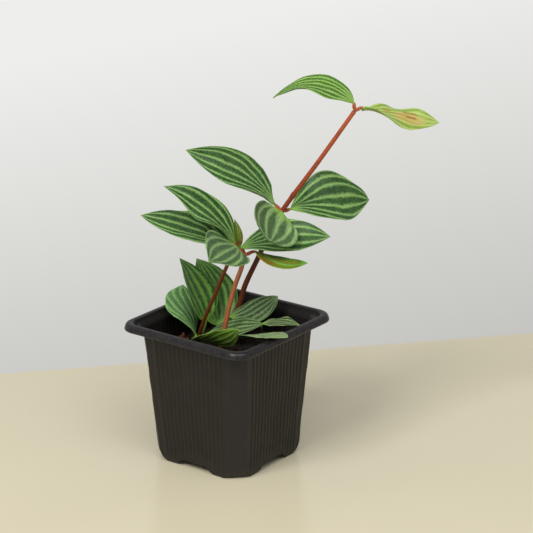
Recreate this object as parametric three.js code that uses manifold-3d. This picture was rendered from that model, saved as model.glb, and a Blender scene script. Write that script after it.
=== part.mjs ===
// A potted peperomia: a square black nursery pot of dark compost, three leaning stems and nineteen
// pointed, striped leaves. Millimetres, +Z up. Everything is laid out round the pot's upright axis,
// with the pot's four faces along X and Y, and the whole is then moved so that the origin is the
// middle of the bottom of its bounding box.
import * as THREE from 'three';
import { mergeVertices } from 'three/addons/utils/BufferGeometryUtils.js';
import Module from 'manifold-3d';

// ---- driving dimensions: pot ----
const POT_HEIGHT = 95;
const RIM_SIDE = 102; // outside of the rolled rim, flat to flat
const RIM_DROP = 4.5; // how far the rim's lip turns down
const RIM_CORNER = 12; // outer corner radius of the rim
const CORNER_STEPS = 5; // straight pieces round each corner of the pot
const MOUTH_SIDE = 90; // inner edge of the rim
const BODY_TOP_SIDE = 86; // outside of the walls just under the rim
const BODY_BOTTOM_SIDE = 73;
const WALL = 1.2;
const CORNER_CUT = 8.5; // each wall corner is cut off flat, this far along both faces
const FLOOR_HEIGHT = 5; // underside of the floor, above the ground
const FLOOR_THICKNESS = 1.5;
const ARCH_SIDE = 36; // gap between two feet at the ground
const ARCH_TOP = 22; // and where it meets the floor
const NOTCH = [4.5, 1.2]; // width and height of the groove that parts each foot in two lobes
const RIBS_PER_FACE = 15;
const RIB_PITCH = 3.8;
const RIB_FOOT = 0.36; // half width of a rib at the wall, as a share of the pitch
const RIB_CREST = 0.2; // and at its crest
const RIB_RELIEF = 0.45;
const DRAIN_RADIUS = 4;
const DRAIN_OFFSET = 17;

// ---- driving dimensions: compost and clearances ----
const GAP = 0.3; // between parts that touch
const SOIL_EDGE = 72; // height of the compost along the walls
const SOIL_MOUND = 4.5; // how much higher it is round the stems
const SOIL_CENTRE = [-9, 5];
const MOUND_SPREAD = 24;

// ---- driving dimensions: stems and leaves ----
const STEM_SIDES = 8;
const STEM_STEPS = 14;
const BLADE = 0.8; // leaf thickness
const STALK = 0.85; // radius of a leaf's stalk
const TIP = 0.5; // half width of a blade's very tip
const FLATTENED = 0.12; // part of a blade's length over which the round stalk goes flat
const WAVE_LENGTH = 0.6; // of a wavy margin, as a part of the blade's length
const BLADE_STEPS = 11; // cross-sections along a blade

const LOOKS = {
  pot: { color: 0x2b2826, roughness: 0.55, metalness: 0 },
  soil: { color: 0x1d1511, roughness: 0.95, metalness: 0 },
  stem: { color: 0x8a3a22, roughness: 0.5, metalness: 0 },
  leaf: { color: 0x4c7a3d, roughness: 0.5, metalness: 0 },
  young: { color: 0x8fa648, roughness: 0.5, metalness: 0 },
};

// Each stem's middle line, from the bottom of its hole in the compost, and its radius at each end.
const STEMS = {
  stem_left: {
    line: [[-24.5, -2.5, 68], [-21.5, -3, 78], [-15.5, -4, 92.5], [-8.5, 0, 112], [-2.5, 2.5, 128],
      [3, 5, 141]],
    radii: [1.35, 1.25],
  },
  stem_middle: {
    line: [[0.5, -12, 67], [1, -8, 79.5], [1.5, -4.5, 90], [1.5, -0.5, 101], [2.5, 5.5, 116.5],
      [3.5, 11, 127], [4, 13.5, 135.5]],
    radii: [1.7, 1.5],
  },
  stem_tall: {
    line: [[-15.5, 19, 68], [-13, 22, 80.5], [-8.5, 24, 96], [-5.5, 26.5, 109], [1, 32, 127.5],
      [7, 37.5, 145], [13, 42, 159], [34, 54, 194], [54, 66, 228.5]],
    radii: [1.9, 1.35],
  },
};

// Each leaf. stalk: where its stalk starts, beside a stem or on the compost; without it the blade
// starts right at the stem. base: where the blade begins. size: the blade's length and width.
// aim: heading and pitch half way along the blade, how far it arches over and how far it sweeps
// sideways along its length. turn: roll about the midrib half way along, twist along the length,
// cupping of the section. All angles are degrees. edge: powers of the outline near the stalk and
// near the tip. wave: how far one margin lifts and falls, and the part of the blade's length where
// the lift begins.
const LEAVES = {
  leaf_top_left: {
    stalk: [53.5, 65.5, 231], base: [53, 65.5, 233.5], size: [58.5, 26.5],
    aim: [199, -1, 79, -4], turn: [10, -13, 17], edge: [0.75, 0.98], wave: [2.1, 0.4],
  },
  leaf_top_right: {
    stalk: [56, 67.5, 229.5], base: [58, 69.5, 230], size: [51, 24.5],
    aim: [43, -13, -11.5, -11], turn: [-23, -98, 3], edge: [0.41, 0.92], wave: [-3.2, 0.37],
    look: 'young',
  },
  leaf_high_left: {
    stalk: [11.5, 41, 161], base: [8.5, 40, 164], size: [68.5, 32],
    aim: [214, 32, 28, 0], turn: [36, 73, 37], edge: [0.62, 1.03], wave: [-0.8, 0.37],
  },
  leaf_high_right: {
    stalk: [14.5, 45, 159], base: [17, 46.5, 160.5], size: [57.5, 39],
    aim: [60, -1, 33, 17], turn: [-40, -50, 20], edge: [0.88, 1.01], wave: [2.8, 0.32],
  },
  leaf_high_front: {
    stalk: [15, 39, 159.5], base: [17, 36.5, 160.5], size: [68, 37],
    aim: [-59, 2, -33, 34], turn: [43, -1, 28], edge: [0.48, 1],
  },
  leaf_mid_upper: {
    base: [2, 6, 145], size: [59.5, 28.5],
    aim: [207, 38, 41, -1], turn: [17, 29, 20], edge: [0.73, 1.1], wave: [-2.7, 0.39],
  },
  leaf_mid_lower: {
    base: [0.5, 4.5, 143.5], size: [64, 29],
    aim: [199, 13, 17, -7], turn: [18, 16, 16], edge: [0.68, 0.96],
  },
  leaf_mid_front: {
    stalk: [5, 3, 142.5], base: [7, 0.5, 145], size: [54.5, 33],
    aim: [-70, 7, 11, 4], turn: [37, 9, 15], edge: [0.59, 1.11], wave: [-0.8, 0.42],
  },
  leaf_mid_right: {
    stalk: [3, 12, 138], base: [2, 12.5, 140], size: [59, 29],
    aim: [37, 7, 24, -4], turn: [-31, -56, 17], edge: [0.72, 1.03],
  },
  leaf_young_side: {
    stalk: [6.5, 15, 136], base: [11, 17, 137.5], size: [37, 14],
    aim: [13, -4, -44, 4], turn: [-11, -27, 0], edge: [0.66, 0.83], look: 'young',
  },
  leaf_young_tip: {
    stalk: [1.5, 15, 137.5], base: [-0.5, 13.5, 139.5], size: [18.5, 6.5],
    aim: [150, 68, 33, 4], turn: [-5, -2, 18], edge: [0.57, 0.96], look: 'young',
  },
  leaf_base_left: {
    stalk: [-21.5, -8.5, 77.5], base: [-19.5, -8.5, 81], size: [42.5, 31],
    aim: [143, 33, 7, -40], turn: [-36, 41, -21], edge: [0.66, 0.8], wave: [1, 0.53],
  },
  leaf_base_tall: {
    stalk: [-21.5, 1.5, 79], base: [-19.5, 1.5, 88], size: [47.5, 28.5],
    aim: [162, 50, 50, 6], turn: [-19, -5, 28], edge: [0.65, 0.96],
  },
  leaf_base_back: {
    stalk: [-17.5, 16.5, 76.5], base: [-18.5, 14.5, 80.5], size: [52, 30.5],
    aim: [151, 46, 35, 35], turn: [5, -15, 16], edge: [0.71, 0.95], wave: [-1.6, 0.43],
  },
  leaf_base_far: {
    stalk: [-12.5, 13.5, 78], base: [-8, 14, 89.5], size: [34.5, 18],
    aim: [44, 23, -41, 9], turn: [-37, -8, 1], edge: [0.66, 0.78],
  },
  leaf_base_right: {
    stalk: [-18, -0.5, 79], base: [-15.5, -0.5, 80.5], size: [39.5, 19],
    aim: [18, 16, 10, -6], turn: [-20, -12, 7], edge: [0.64, 0.87],
  },
  leaf_base_front: {
    stalk: [-17, -16, 78], base: [-13.5, -18, 82.5], size: [45, 20],
    aim: [-7, 23, -41, 1], turn: [42, 45, 0], edge: [0.61, 0.89],
  },
  leaf_base_edge: {
    stalk: [5, -9, 80], base: [14, -9.5, 87.5], size: [47.5, 21],
    aim: [-6, 14, 10, -3], turn: [8, -25, 7], edge: [0.65, 0.81],
  },
  leaf_base_small: {
    stalk: [25, 13, 75.5], base: [23.5, 8.5, 93.5], size: [25.5, 13.5],
    aim: [14, 5, 28, 0], turn: [-5, 0, 9], edge: [0.62, 0.96], wave: [0.8, 0.45],
  },
};

const wasm = await Module();
wasm.setup();
const rad = THREE.MathUtils.degToRad;
const mix = THREE.MathUtils.lerp;
const vec = (point) => new THREE.Vector3(...point);

// ---- solids ----

// A closed skin over a list of rings with the same number of points. Rings run counter-clockwise
// seen from where the list ends, and the two end rings are closed by a fan round their middle. From
// point `turnedFrom` of each ring on, the quads are split along their other diagonal.
function loft(rings, turnedFrom = Infinity) {
  const count = rings[0].length;
  const positions = [];
  const index = [];
  for (const ring of rings) {
    for (const point of ring) positions.push(point.x, point.y, point.z);
  }
  for (let row = 0; row + 1 < rings.length; row += 1) {
    for (let k = 0; k < count; k += 1) {
      const a = row * count + k;
      const b = row * count + ((k + 1) % count);
      if (k < turnedFrom) index.push(a, b, b + count, a, b + count, a + count);
      else index.push(a, b, a + count, b, b + count, a + count);
    }
  }
  const cap = (ring, offset, flip) => {
    const middle = new THREE.Vector3();
    ring.forEach((point) => middle.addScaledVector(point, 1 / count));
    const centre = positions.length / 3;
    positions.push(middle.x, middle.y, middle.z);
    for (let k = 0; k < count; k += 1) {
      const a = offset + k;
      const b = offset + ((k + 1) % count);
      index.push(...(flip ? [centre, b, a] : [centre, a, b]));
    }
  };
  cap(rings[0], 0, true);
  cap(rings.at(-1), (rings.length - 1) * count, false);
  const geometry = new THREE.BufferGeometry();
  geometry.setAttribute('position', new THREE.Float32BufferAttribute(positions, 3));
  geometry.setIndex(index);
  return geometry;
}

function toManifold(geometry) {
  const bare = geometry.clone();
  bare.deleteAttribute('normal');
  bare.deleteAttribute('uv');
  const merged = mergeVertices(bare, 1e-4);
  return new wasm.Manifold(new wasm.Mesh({
    numProp: 3,
    vertProperties: new Float32Array(merged.attributes.position.array),
    triVerts: new Uint32Array(merged.index.array),
  }));
}

function toGeometry(solid) {
  const mesh = solid.getMesh();
  const geometry = new THREE.BufferGeometry();
  geometry.setAttribute('position', new THREE.Float32BufferAttribute(mesh.vertProperties, 3));
  geometry.setIndex(Array.from(mesh.triVerts));
  return geometry;
}

// ---- pot ----

// One level ring of the pot: a square of half side `half` whose corners are cut by `cut`, round
// where round is 1 and flat where it is 0. Ribs stand out from the faces by `relief`.
function potRing(z, half, cut, round, relief = 0, ribbed = false) {
  const ring = [];
  for (let side = 0; side < 4; side += 1) {
    const turn = (point) => {
      const quarter = new THREE.Vector3(point[0], point[1], z);
      return quarter.applyAxisAngle(new THREE.Vector3(0, 0, 1), rad(90) * side);
    };
    if (ribbed) {
      for (let rib = 0; rib < RIBS_PER_FACE; rib += 1) {
        const middle = (rib - (RIBS_PER_FACE - 1) / 2) * RIB_PITCH * (half / (BODY_TOP_SIDE / 2));
        const foot = RIB_PITCH * RIB_FOOT;
        const crest = RIB_PITCH * RIB_CREST;
        ring.push(turn([half, middle - foot]), turn([half + relief, middle - crest]));
        ring.push(turn([half + relief, middle + crest]), turn([half, middle + foot]));
      }
    }
    for (let step = 0; step <= CORNER_STEPS; step += 1) {
      const part = step / CORNER_STEPS;
      const inner = half - cut;
      const arc = [inner + cut * Math.cos(rad(90) * part), inner + cut * Math.sin(rad(90) * part)];
      const flat = [half - cut * part, inner + cut * part];
      ring.push(turn([mix(flat[0], arc[0], round), mix(flat[1], arc[1], round)]));
    }
  }
  return ring;
}

const wallHalf = (z) => mix(BODY_BOTTOM_SIDE, BODY_TOP_SIDE, z / (POT_HEIGHT - RIM_DROP)) / 2;

const wallRing = (z, inset, extraCut = 0) => (
  potRing(z, wallHalf(z) - inset, CORNER_CUT + extraCut, 0, RIB_RELIEF, true)
);
const innerRing = (z, inset, extraCut = 0) => (
  potRing(z, wallHalf(z) - WALL - inset, CORNER_CUT + extraCut, 0)
);

// What is cut out between the feet under two opposite faces, the faces of `angle`.
function archCutter(angle) {
  const arch = new THREE.Shape();
  const low = -1;
  const foot = ARCH_SIDE / 2 + 1;
  const top = ARCH_TOP / 2;
  const shoulder = (ARCH_SIDE - ARCH_TOP) / 4;
  const [spring, crown] = [[ARCH_SIDE / 2 - shoulder, FLOOR_HEIGHT * 0.3], [top + shoulder, FLOOR_HEIGHT]];
  arch.moveTo(-foot, low);
  arch.lineTo(foot, low);
  arch.bezierCurveTo(...spring, ...crown, top, FLOOR_HEIGHT);
  arch.lineTo(-top, FLOOR_HEIGHT);
  arch.bezierCurveTo(-crown[0], crown[1], -spring[0], spring[1], -foot, low);
  const through = { depth: RIM_SIDE, bevelEnabled: false, curveSegments: 6 };
  const geometry = new THREE.ExtrudeGeometry(arch, through);
  geometry.translate(0, 0, -RIM_SIDE / 2);
  geometry.rotateX(rad(90));
  geometry.rotateZ(rad(angle));
  return toManifold(geometry);
}

function pot() {
  const rimHalf = RIM_SIDE / 2;
  const lipBottom = POT_HEIGHT - RIM_DROP;
  const mouthHalf = MOUTH_SIDE / 2;
  const lid = loft([
    potRing(lipBottom, rimHalf - 0.3, RIM_CORNER - 0.3, 1),
    potRing(lipBottom + 0.6, rimHalf, RIM_CORNER, 1),
    potRing(POT_HEIGHT - 2, rimHalf, RIM_CORNER, 1),
    potRing(POT_HEIGHT - 0.6, rimHalf - 0.8, RIM_CORNER - 0.8, 1),
    potRing(POT_HEIGHT, rimHalf - 2.4, RIM_CORNER - 2.4, 1),
  ]);
  const underRim = loft([
    potRing(lipBottom - 2, rimHalf - WALL, RIM_CORNER - WALL, 1),
    potRing(POT_HEIGHT - 2.4, rimHalf - WALL, RIM_CORNER - WALL, 1),
    potRing(POT_HEIGHT - 1.3, rimHalf - 2.4, RIM_CORNER - 2.4, 1),
  ]);
  const body = loft([
    wallRing(0, 1.4, 4),
    wallRing(1.5, 0.4, 1),
    wallRing(5, 0),
    wallRing(lipBottom - 0.5, 0),
    potRing(POT_HEIGHT - 0.6, mouthHalf + 1, CORNER_CUT, 0, 0, true),
  ]);
  const floorTop = FLOOR_HEIGHT + FLOOR_THICKNESS;
  const cavity = loft([
    innerRing(floorTop, 1, 2),
    innerRing(floorTop + 3, 0, 0.5),
    innerRing(lipBottom - 0.5, 0),
    potRing(lipBottom + 1, mouthHalf - 2.2, CORNER_CUT, 0.3),
    potRing(lipBottom + 3, mouthHalf - 1.2, CORNER_CUT, 0.7),
    potRing(POT_HEIGHT - 0.4, mouthHalf - 0.3, CORNER_CUT + 0.5, 1),
    potRing(POT_HEIGHT + 0.1, mouthHalf + 0.4, CORNER_CUT + 1, 1),
  ]);
  const rim = toManifold(lid).subtract(toManifold(underRim));
  let solid = rim.add(toManifold(body)).subtract(toManifold(cavity));
  solid = solid.subtract(archCutter(0)).subtract(archCutter(90));
  for (const angle of [45, 135]) {
    const groove = new THREE.BoxGeometry(RIM_SIDE * 1.5, NOTCH[0], NOTCH[1] * 2);
    groove.rotateZ(rad(angle));
    solid = solid.subtract(toManifold(groove));
  }
  for (const [x, y] of [[0, 0], [1, 1], [-1, 1], [-1, -1], [1, -1]]) {
    const drain = new THREE.CylinderGeometry(DRAIN_RADIUS, DRAIN_RADIUS, 4 * FLOOR_THICKNESS, 16);
    drain.rotateX(rad(90));
    drain.translate(x * DRAIN_OFFSET, y * DRAIN_OFFSET, FLOOR_HEIGHT + FLOOR_THICKNESS / 2);
    solid = solid.subtract(toManifold(drain));
  }
  return toGeometry(solid);
}

// ---- stems and compost ----

// The rings of a stem from bottom to top, `grow` wider than the stem itself.
function stemRings(line, radii, grow = 0) {
  const curve = new THREE.CatmullRomCurve3(line.map(vec), false, 'centripetal');
  const rings = [];
  for (let step = 0; step <= STEM_STEPS; step += 1) {
    const part = step / STEM_STEPS;
    const centre = curve.getPointAt(part);
    const along = curve.getTangentAt(part);
    const right = new THREE.Vector3(0, 1, 0).cross(along).normalize();
    const back = new THREE.Vector3().crossVectors(along, right);
    const radius = mix(radii[0], radii[1], part) + grow;
    const ring = [];
    for (let k = 0; k < STEM_SIDES; k += 1) {
      const angle = (2 * Math.PI * k) / STEM_SIDES;
      const point = centre.clone().addScaledVector(right, radius * Math.cos(angle));
      ring.push(point.addScaledVector(back, radius * Math.sin(angle)));
    }
    rings.push(ring);
  }
  return rings;
}

// Height of the compost: a low mound with shallow lumps.
function soilHeight(x, y) {
  const away = Math.hypot(x - SOIL_CENTRE[0], y - SOIL_CENTRE[1]);
  const mound = SOIL_MOUND * Math.exp(-((away / MOUND_SPREAD) ** 2));
  const lumps = 0.7 * Math.sin(x / 4.1 + 1) * Math.cos(y / 3.7) + 0.5 * Math.sin((x + y) / 2.3);
  return SOIL_EDGE + mound + lumps;
}

function soil() {
  const inset = WALL + GAP;
  const bottom = FLOOR_HEIGHT + FLOOR_THICKNESS + GAP;
  const rings = [
    potRing(bottom, wallHalf(bottom) - inset - 1.5, CORNER_CUT + 2, 0),
    potRing(bottom + 3, wallHalf(bottom + 3) - inset, CORNER_CUT + 1, 0),
  ];
  const brink = potRing(SOIL_EDGE, wallHalf(SOIL_EDGE) - inset, CORNER_CUT, 0);
  const shares = [1, 0.88, 0.76, 0.64, 0.52, 0.4, 0.28, 0.16, 0.06];
  for (const share of shares) {
    rings.push(brink.map((point) => {
      const x = mix(SOIL_CENTRE[0], point.x, share);
      const y = mix(SOIL_CENTRE[1], point.y, share);
      return new THREE.Vector3(x, y, soilHeight(x, y));
    }));
  }
  let solid = toManifold(loft(rings));
  for (const { line, radii } of Object.values(STEMS)) {
    const below = vec(line[0]).lerp(vec(line[1]), -0.05).toArray();
    solid = solid.subtract(toManifold(loft(stemRings([below, ...line.slice(1)], radii, GAP))));
  }
  return toGeometry(solid);
}

// ---- leaves ----

function direction(heading, pitch) {
  const [turn, lift] = [rad(heading), rad(pitch)];
  return new THREE.Vector3(Math.cos(lift) * Math.cos(turn), Math.cos(lift) * Math.sin(turn), Math.sin(lift));
}

// Share of the full half width at part t of the blade's length, 1 at the widest place.
function outline(t, [fore, aft]) {
  const widest = fore / (fore + aft);
  const inside = Math.min(Math.max(t, 1e-6), 1 - 1e-6);
  return (inside / widest) ** fore * ((1 - inside) / (1 - widest)) ** aft;
}

// One closed ring round the blade or stalk: the upper row from left to right, the lower row back.
// thickness and lift are taken at the share of the half width, -1 to 1.
function leafRing({ centre, across, normal }, half, cup, thickness, lift) {
  const shares = [-1, -0.5, 0, 0.5, 1];
  const angle = rad(Math.abs(cup) > 0.01 ? cup : 0.01);
  const row = (face) => shares.map((share) => {
    const out = (half * Math.sin(angle * share)) / angle;
    const up = (half * (1 - Math.cos(angle * share))) / angle;
    const point = centre.clone().addScaledVector(across, out);
    return point.addScaledVector(normal, up + lift(share) + face * thickness(share));
  });
  return [...row(1), ...row(-1).reverse()];
}

// Direction of the midrib, and the directions across and out of the blade, at part t of its length.
function bladeFrame(t, [heading, pitch, arch, sweep], [roll, twist]) {
  const turn = heading + sweep * (t - 0.5);
  const along = direction(turn, pitch - arch * (t - 0.5));
  const side = new THREE.Vector3(Math.sin(rad(turn)), -Math.cos(rad(turn)), 0);
  const up = new THREE.Vector3().crossVectors(side, along);
  const tilt = rad(roll + twist * (t - 0.5));
  const across = side.clone().multiplyScalar(Math.cos(tilt)).addScaledVector(up, Math.sin(tilt));
  const normal = up.multiplyScalar(Math.cos(tilt)).addScaledVector(side, -Math.sin(tilt));
  return { along, across, normal };
}

const roundStalk = (share) => STALK * Math.sqrt(1 - (0.93 * share) ** 2);

// A leaf's stalk, a smooth curve that runs into the midrib of the blade.
function stalkRings(stalk, base, start) {
  const reach = base.distanceTo(stalk);
  const bend = reach * 0.3;
  const curve = new THREE.CubicBezierCurve3(
    stalk, new THREE.Vector3(0, 0, bend).add(stalk), base.clone().addScaledVector(start.along, -bend), base,
  );
  const steps = Math.max(2, Math.round(reach / 4));
  const rings = [];
  for (let step = 0; step < steps; step += 1) {
    const along = curve.getTangentAt(step / steps);
    const across = start.across.clone().addScaledVector(along, -start.across.dot(along)).normalize();
    const normal = new THREE.Vector3().crossVectors(across, along);
    const place = { centre: curve.getPointAt(step / steps), across, normal };
    rings.push(leafRing(place, STALK, 0, roundStalk, () => 0));
  }
  return rings;
}

function leaf({ stalk, base, size, aim, turn, edge, wave = [0, 0.5] }) {
  const [length, width] = size;
  const rings = stalk ? stalkRings(vec(stalk), vec(base), bladeFrame(0, aim, turn)) : [];
  // the blade, along a midrib that bends evenly from its base to its tip
  const centre = vec(base);
  let before = 0;
  for (let step = 0; step <= BLADE_STEPS; step += 1) {
    const even = step / BLADE_STEPS;
    const t = mix(even, 0.5 - 0.5 * Math.cos(Math.PI * even), 0.6);
    centre.addScaledVector(bladeFrame((t + before) / 2, aim, turn).along, length * (t - before));
    before = t;
    const { across, normal } = bladeFrame(t, aim, turn);
    const share = outline(t, edge);
    const half = Math.max((width / 2) * share, t < 0.5 ? STALK : TIP);
    const flat = Math.min(1, t / FLATTENED);
    const thickness = (u) => mix(roundStalk(u), BLADE / 2, flat);
    const swing = wave[0] * share * Math.sin((2 * Math.PI * (t - wave[1])) / WAVE_LENGTH);
    const lift = (u) => swing * u * u * (u < 0 ? 1 : 0.25);
    rings.push(leafRing({ centre: centre.clone(), across, normal }, half, turn[2] * flat, thickness, lift));
  }
  return loft(rings, rings[0].length / 2);
}

// ---- the object ----

const plant = new THREE.Group();

function addMesh(name, geometry, look) {
  const mesh = new THREE.Mesh(geometry, new THREE.MeshStandardMaterial(LOOKS[look]));
  mesh.name = name;
  plant.add(mesh);
}

addMesh('pot', pot(), 'pot');
addMesh('soil', soil(), 'soil');
for (const [name, { line, radii }] of Object.entries(STEMS)) {
  addMesh(name, loft(stemRings(line, radii)), 'stem');
}
for (const [name, row] of Object.entries(LEAVES)) {
  addMesh(name, leaf(row), row.look ?? 'leaf');
}

const box = new THREE.Box3().setFromObject(plant);
plant.position.set(-(box.min.x + box.max.x) / 2, -(box.min.y + box.max.y) / 2, -box.min.z);

const model = new THREE.Group();
model.add(plant);
export default model;
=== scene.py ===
"""A potted peperomia: striped leaves, red stems, dark compost and a square black nursery pot.

Shapes are worked out in millimetres round the pot's upright axis and moved to the frame of the CAD
model at the end, so the figures for stems and leaves are those of the part's own source.
"""
import math
import random

import bmesh
import bpy
import numpy as np
from mathutils import Matrix, Vector, geometry, noise

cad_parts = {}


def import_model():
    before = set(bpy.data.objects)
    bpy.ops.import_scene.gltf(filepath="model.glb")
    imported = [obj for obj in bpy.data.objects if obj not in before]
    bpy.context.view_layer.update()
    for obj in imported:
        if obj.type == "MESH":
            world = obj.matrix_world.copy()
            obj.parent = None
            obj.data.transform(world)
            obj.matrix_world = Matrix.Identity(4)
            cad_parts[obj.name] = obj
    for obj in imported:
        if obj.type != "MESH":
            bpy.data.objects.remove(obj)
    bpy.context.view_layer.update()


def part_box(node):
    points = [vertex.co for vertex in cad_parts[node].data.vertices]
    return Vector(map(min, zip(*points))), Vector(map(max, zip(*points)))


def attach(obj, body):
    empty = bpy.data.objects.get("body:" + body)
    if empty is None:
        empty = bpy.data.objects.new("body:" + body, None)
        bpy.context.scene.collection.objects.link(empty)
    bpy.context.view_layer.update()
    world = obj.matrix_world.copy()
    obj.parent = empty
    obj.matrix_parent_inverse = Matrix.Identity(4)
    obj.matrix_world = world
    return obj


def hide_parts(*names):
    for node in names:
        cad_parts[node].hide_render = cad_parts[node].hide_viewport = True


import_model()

MM = 0.001
POT_LOW, POT_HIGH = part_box("pot")
AXIS = np.array([(POT_LOW.x + POT_HIGH.x) / 2, (POT_LOW.y + POT_HIGH.y) / 2, POT_LOW.z])

# ---- pot ----
BODY_TOP_HALF = 43.0
BODY_BOTTOM_HALF = 36.5
LIP_BOTTOM = 90.5
WALL = 1.2
CORNER_CUT = 8.5
FLOOR_HEIGHT = 5.0
FLOOR_TOP = 6.5
RIBS = 15
RIB_PITCH = 3.8
RIB_RELIEF = 0.5
ARCH_LIFT = 4.7
ARCH_HALF = 17.6
GROOVE_LIFT = 1.7
DRAIN_RADIUS = 4.0
DRAIN_SIDES = 24
DRAINS = ((0, 0), (17, 17), (-17, 17), (-17, -17), (17, -17))

# ---- compost and stems ----
SOIL_EDGE = 72.0
SOIL_CENTRE = (-9.0, 5.0)
SOIL_RINGS = 64

# line: points on the middle line; radii: at the foot and the tip; joints: where the stem swells, as
# shares of its length; colours: along it from the foot; speck and deep: its fine pale specks and its
# darker blotches. Colours here and below are linear.
STEMS = {
    "stem_left": dict(
        line=[(-24.5, -2.5, 68), (-21.5, -3, 78), (-15.5, -4, 92.5), (-8.5, 0, 112), (-2.5, 2.5, 128),
              (3, 5, 141)],
        radii=(1.35, 1.25), joints=(1.0,), speck=(0.26, 0.085, 0.03), deep=(0.05, 0.012, 0.006),
        colours=[(0, (0.085, 0.017, 0.004)), (1, (0.17, 0.038, 0.008))]),
    "stem_middle": dict(
        line=[(0.5, -12, 67), (1, -8, 79.5), (1.5, -4.5, 90), (1.5, -0.5, 101), (2.5, 5.5, 116.5),
              (3.5, 11, 127), (4, 13.5, 135.5)],
        radii=(1.7, 1.5), joints=(1.0,), speck=(0.48, 0.2, 0.09), deep=(0.2, 0.05, 0.02),
        colours=[(0.13, (0.02, 0.007, 0.003)), (0.22, (0.25, 0.062, 0.016)),
                 (0.5, (0.36, 0.1, 0.032)), (1, (0.44, 0.16, 0.06))]),
    "stem_tall": dict(
        line=[(-15.5, 19, 68), (-13, 22, 80.5), (-8.5, 24, 96), (-5.5, 26.5, 109), (1, 32, 127.5),
              (7, 37.5, 145), (13, 42, 159), (34, 54, 194), (54, 66, 228.5)],
        radii=(1.9, 1.35), joints=(0.615, 1.0), speck=(0.5, 0.19, 0.08), deep=(0.14, 0.028, 0.012),
        colours=[(0, (0.12, 0.028, 0.008)), (0.5, (0.14, 0.028, 0.01)),
                 (0.62, (0.28, 0.045, 0.015)), (1, (0.42, 0.085, 0.025))]),
}


def plan(look, base, size, aim, turn, edge, stalk=None, wave=(0.0, 0.5)):
    """One leaf, as in the part's source: its colouring, where its blade begins, the blade's length
    and width, its aim (heading, pitch, arch and sweep in degrees), its turn (roll, twist and cup in
    degrees), the two powers of its outline, where its stalk starts, and the height of the wave in
    its margins and where that starts."""
    return dict(look=look, base=base, size=size, aim=aim, turn=turn, edge=edge, stalk=stalk,
                wave=wave)


LEAVES = {
    "leaf_top_left": plan(
        "bright", (53, 65.5, 233.5), (58.5, 26.5), (199, -1, 79, -4), (10, -13, 17), (0.75, 0.98),
        stalk=(53.5, 65.5, 231), wave=(2.1, 0.4)),
    "leaf_top_right": plan(
        "young", (58, 69.5, 230), (51, 24.5), (43, -13, -11.5, -11), (-23, -98, 3), (0.41, 0.92),
        stalk=(56, 67.5, 229.5), wave=(-3.2, 0.37)),
    "leaf_high_left": plan(
        "dark", (8.5, 40, 164), (68.5, 32), (214, 32, 28, 0), (36, 73, 37), (0.62, 1.03),
        stalk=(11.5, 41, 161), wave=(-0.8, 0.37)),
    "leaf_high_right": plan(
        "dark", (17, 46.5, 160.5), (57.5, 39), (60, -1, 33, 17), (-40, -50, 20), (0.88, 1.01),
        stalk=(14.5, 45, 159), wave=(2.8, 0.32)),
    "leaf_high_front": plan(
        "grey", (17, 36.5, 160.5), (68, 37), (-59, 2, -33, 34), (43, -1, 28), (0.48, 1),
        stalk=(15, 39, 159.5)),
    "leaf_mid_upper": plan(
        "dark", (2, 6, 145), (59.5, 28.5), (207, 38, 41, -1), (17, 29, 20), (0.73, 1.1),
        wave=(-2.7, 0.39)),
    "leaf_mid_lower": plan(
        "dark", (0.5, 4.5, 143.5), (64, 29), (199, 13, 17, -7), (18, 16, 16), (0.68, 0.96)),
    "leaf_mid_front": plan(
        "grey", (7, 0.5, 145), (54.5, 33), (-70, 7, 11, 4), (37, 9, 15), (0.59, 1.11),
        stalk=(5, 3, 142.5), wave=(-0.8, 0.42)),
    "leaf_mid_right": plan(
        "dark", (2, 12.5, 140), (59, 29), (37, 7, 24, -4), (-31, -56, 17), (0.72, 1.03),
        stalk=(3, 12, 138)),
    "leaf_young_side": plan(
        "olive", (11, 17, 137.5), (37, 14), (13, -4, -44, 4), (-11, -27, 0), (0.66, 0.83),
        stalk=(6.5, 15, 136)),
    "leaf_young_tip": plan(
        "bud", (-0.5, 13.5, 139.5), (18.5, 6.5), (150, 68, 33, 4), (-5, -2, 18), (0.57, 0.96),
        stalk=(1.5, 15, 137.5)),
    "leaf_base_left": plan(
        "soft", (-19.5, -8.5, 81), (42.5, 31), (143, 33, 7, -40), (-36, 41, -21), (0.66, 0.8),
        stalk=(-21.5, -8.5, 77.5), wave=(1, 0.53)),
    "leaf_base_tall": plan(
        "lush", (-19.5, 1.5, 88), (47.5, 28.5), (162, 50, 50, 6), (-19, -5, 28), (0.65, 0.96),
        stalk=(-21.5, 1.5, 79)),
    "leaf_base_back": plan(
        "lush", (-18.5, 14.5, 80.5), (52, 30.5), (151, 46, 35, 35), (5, -15, 16), (0.71, 0.95),
        stalk=(-17.5, 16.5, 76.5), wave=(-1.6, 0.43)),
    "leaf_base_far": plan(
        "plain", (-8, 14, 89.5), (34.5, 18), (44, 23, -41, 9), (-37, -8, 1), (0.66, 0.78),
        stalk=(-12.5, 13.5, 78)),
    "leaf_base_right": plan(
        "plain", (-15.5, -0.5, 80.5), (39.5, 19), (18, 16, 10, -6), (-20, -12, 7), (0.64, 0.87),
        stalk=(-18, -0.5, 79)),
    "leaf_base_front": plan(
        "shaded", (-13.5, -18, 82.5), (45, 20), (-7, 23, -41, 1), (42, 45, 0), (0.61, 0.89),
        stalk=(-17, -16, 78)),
    "leaf_base_edge": plan(
        "edge", (14, -9.5, 87.5), (47.5, 21), (-6, 14, 10, -3), (8, -25, 7), (0.65, 0.81),
        stalk=(5, -9, 80)),
    "leaf_base_small": plan(
        "small", (23.5, 8.5, 93.5), (25.5, 13.5), (14, 5, 28, 0), (-5, 0, 9), (0.62, 0.96),
        stalk=(25, 13, 75.5), wave=(0.8, 0.45)),
}
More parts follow.
